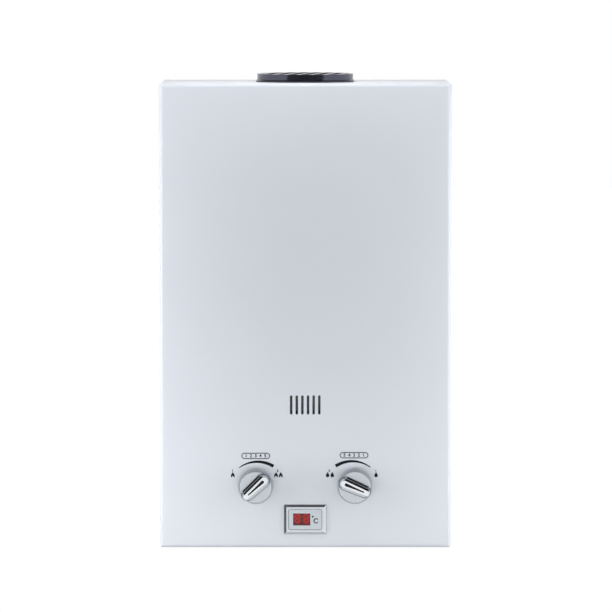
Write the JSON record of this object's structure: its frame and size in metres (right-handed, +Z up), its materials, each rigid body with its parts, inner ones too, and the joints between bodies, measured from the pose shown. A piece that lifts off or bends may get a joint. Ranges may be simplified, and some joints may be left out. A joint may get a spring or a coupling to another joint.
{
  "type": "tankless gas water heater",
  "caption": "Wall-hung instantaneous gas water heater: enamelled box casing with flue collar, viewing slots, two turning knobs and a lit temperature display.",
  "frame": {"origin": "centre of the four wall-screw holes, on the back face that lies on the wall", "axes": "+Z up, the front panel faces -Y, +Y points into the wall, +X to the right of someone facing the heater"},
  "size_m": [0.332, 0.158, 0.545],
  "materials": {
    "white_enamel": "smooth pale cool-white stove enamel, semi-gloss",
    "galvanised_steel": "galvanised sheet with faint spangle",
    "black_steel": "satin black heat-proof paint",
    "plated_steel": "nickel-plated or stainless steel",
    "copper": "drawn copper, slightly tarnished",
    "brass": "turned brass",
    "cast_aluminium": "matt die-cast aluminium",
    "mica": "clear mica sheet",
    "ceramic": "fired alumina",
    "black_plastic": "moulded black plastic",
    "red_silicone": "silicone lead sleeve",
    "black_rubber": "moulded rubber",
    "cell_jacket": "plain printed cell jacket",
    "chrome": "bright chrome on moulded plastic",
    "satin_aluminium": "satin spun aluminium",
    "red_window": "dark red clear window",
    "red_light": "lit red segments",
    "circuit_board": "green lacquered board"
  },
  "bodies": {
    "casing": {"front_cover": "white_enamel", "back_plate": "galvanised_steel", "bottom_plate": "galvanised_steel", "stack_brackets": "galvanised_steel", "cover_screws": "plated_steel", "flue_collar": "black_steel", "flue_guard": "black_steel", "flue_hood": "galvanised_steel", "exchanger_jacket": "copper", "exchanger_fins": "copper", "exchanger_tubes": "copper", "sight_pane": "mica", "overheat_thermostat": "black_plastic", "burner_frame": "galvanised_steel", "burner_bars": "plated_steel", "gas_manifold": "cast_aluminium", "gas_injectors": "brass", "electrode_bracket": "plated_steel", "electrode_insulators": "ceramic", "electrode_wires": "plated_steel", "igniter_box": "black_plastic", "ignition_leads": "red_silicone", "gas_valve_body": "cast_aluminium", "gas_solenoid": "black_plastic", "plunger_spring": "plated_steel", "gas_inlet": "brass", "water_valve_body": "brass", "diaphragm": "black_rubber", "diaphragm_cover": "cast_aluminium", "cold_inlet": "brass", "drain_plug": "black_plastic", "riser_pipe": "copper", "hot_pipe": "copper", "hot_outlet": "brass", "microswitch": "black_plastic", "switch_bracket": "galvanised_steel", "battery_box": "black_plastic", "battery_cells": "cell_jacket", "battery_springs": "plated_steel", "door_pin": "plated_steel", "display_bezel": "chrome", "display_plate": "satin_aluminium", "display_window": "red_window", "display_segments": "red_light", "digit_block": "black_plastic", "display_board": "circuit_board", "display_housing": "black_plastic"},
    "temperature_dial": {"temperature_knob": "chrome", "temperature_face": "satin_aluminium", "temperature_pointer": "black_plastic", "temperature_spindle": "brass"},
    "flow_dial": {"flow_knob": "chrome", "flow_face": "satin_aluminium", "flow_pointer": "black_plastic", "flow_spindle": "brass"},
    "valve_rod": {"push_rod": "brass", "gas_plunger": "brass"},
    "switch_arm": {"switch_lever": "plated_steel"},
    "cell_door": {"battery_door": "black_plastic", "door_contact": "plated_steel"}
  },
  "joints": [
    {"name": "temperature_knob_turn", "type": "hinge", "parent": "casing", "child": "temperature_dial", "pos_m": [-0.0565, -0.135, -0.194], "axis": [0, 1, 0], "range_deg": [-114.5, 19.5]},
    {"name": "flow_knob_turn", "type": "hinge", "parent": "casing", "child": "flow_dial", "pos_m": [0.0565, -0.135, -0.194], "axis": [0, 1, 0], "range_deg": [0, 134]},
    {"name": "push_rod_slide", "type": "slide", "parent": "casing", "child": "valve_rod", "axis": [-1, 0, 0], "range_m": [0, 0.004], "stiffness_N_per_m": 400, "springref_m": -0.002, "deforming": ["plunger_spring"]},
    {"name": "switch_lever_turn", "type": "hinge", "parent": "casing", "child": "switch_arm", "pos_m": [-0.022, -0.064, -0.1835], "axis": [0, -1, 0], "range_deg": [0, 6]},
    {"name": "battery_door_swing", "type": "hinge", "parent": "casing", "child": "cell_door", "pos_m": [0.106, -0.08, -0.254], "axis": [1, 0, 0], "range_deg": [0, 95]}
  ],
  "couplings": [
    {"joint": "switch_lever_turn", "follows": "push_rod_slide", "rad_per_m": 25.05}
  ]
}
